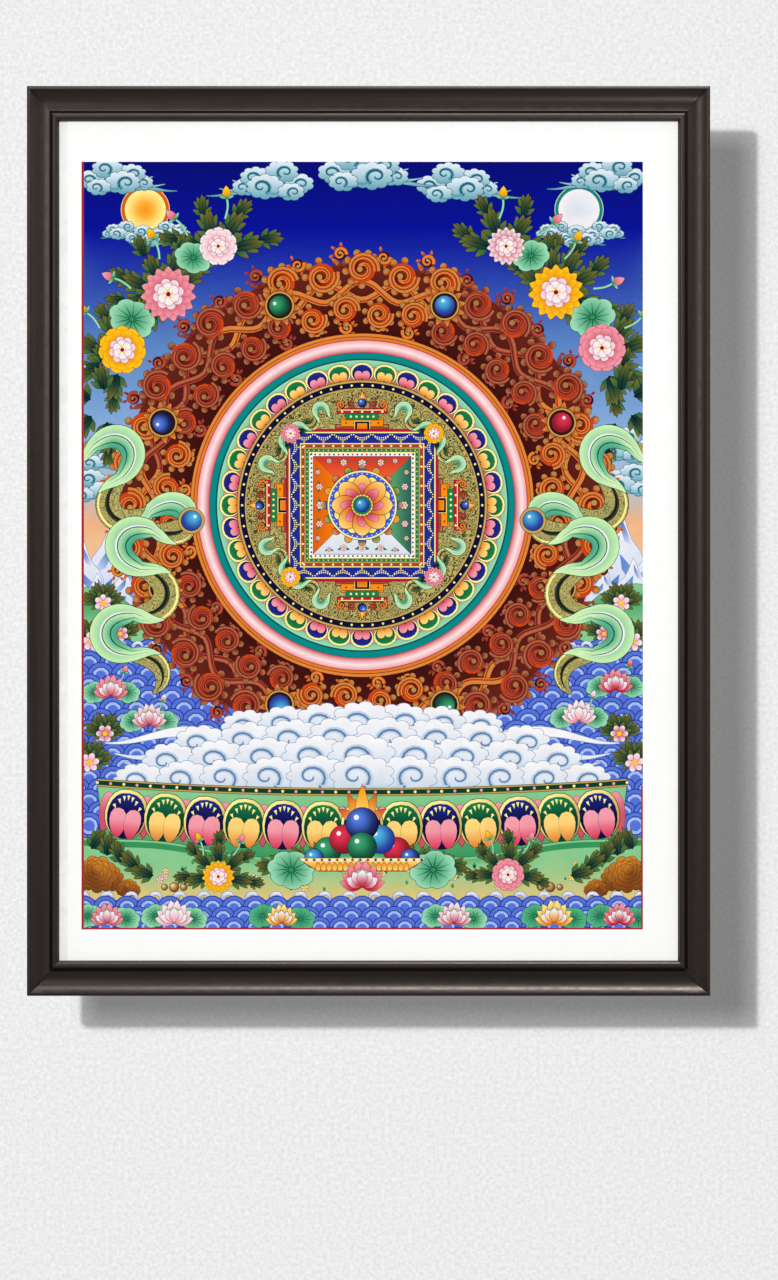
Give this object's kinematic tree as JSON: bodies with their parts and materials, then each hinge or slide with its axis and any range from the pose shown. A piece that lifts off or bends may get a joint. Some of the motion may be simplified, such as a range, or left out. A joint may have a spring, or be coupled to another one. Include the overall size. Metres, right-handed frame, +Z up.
{
  "type": "thangka painting on cloth in a wooden picture frame",
  "caption": "Flat painted cotton cloth, mounted off-centre on a white board in a dark mitred wooden frame with a hollow moulding and a bead; hangs on a wall.",
  "frame": {"origin": "middle of the flat back of the top rail, in the plane of the wall", "axes": "+Z up, +X to the right as the picture is looked at, +Y into the wall; the picture faces -Y"},
  "size_m": [0.7112, 0.028, 0.9471],
  "materials": {
    "painted_cotton": "matte",
    "white_board": "matte",
    "grey_board": "matte",
    "frame_wood": "satin"
  },
  "bodies": {
    "root": {"painted_cloth": "painted_cotton", "mount_board": "white_board", "backing_board": "grey_board", "frame_top": "frame_wood", "frame_bottom": "frame_wood", "frame_left": "frame_wood", "frame_right": "frame_wood"}
  },
  "joints": []
}
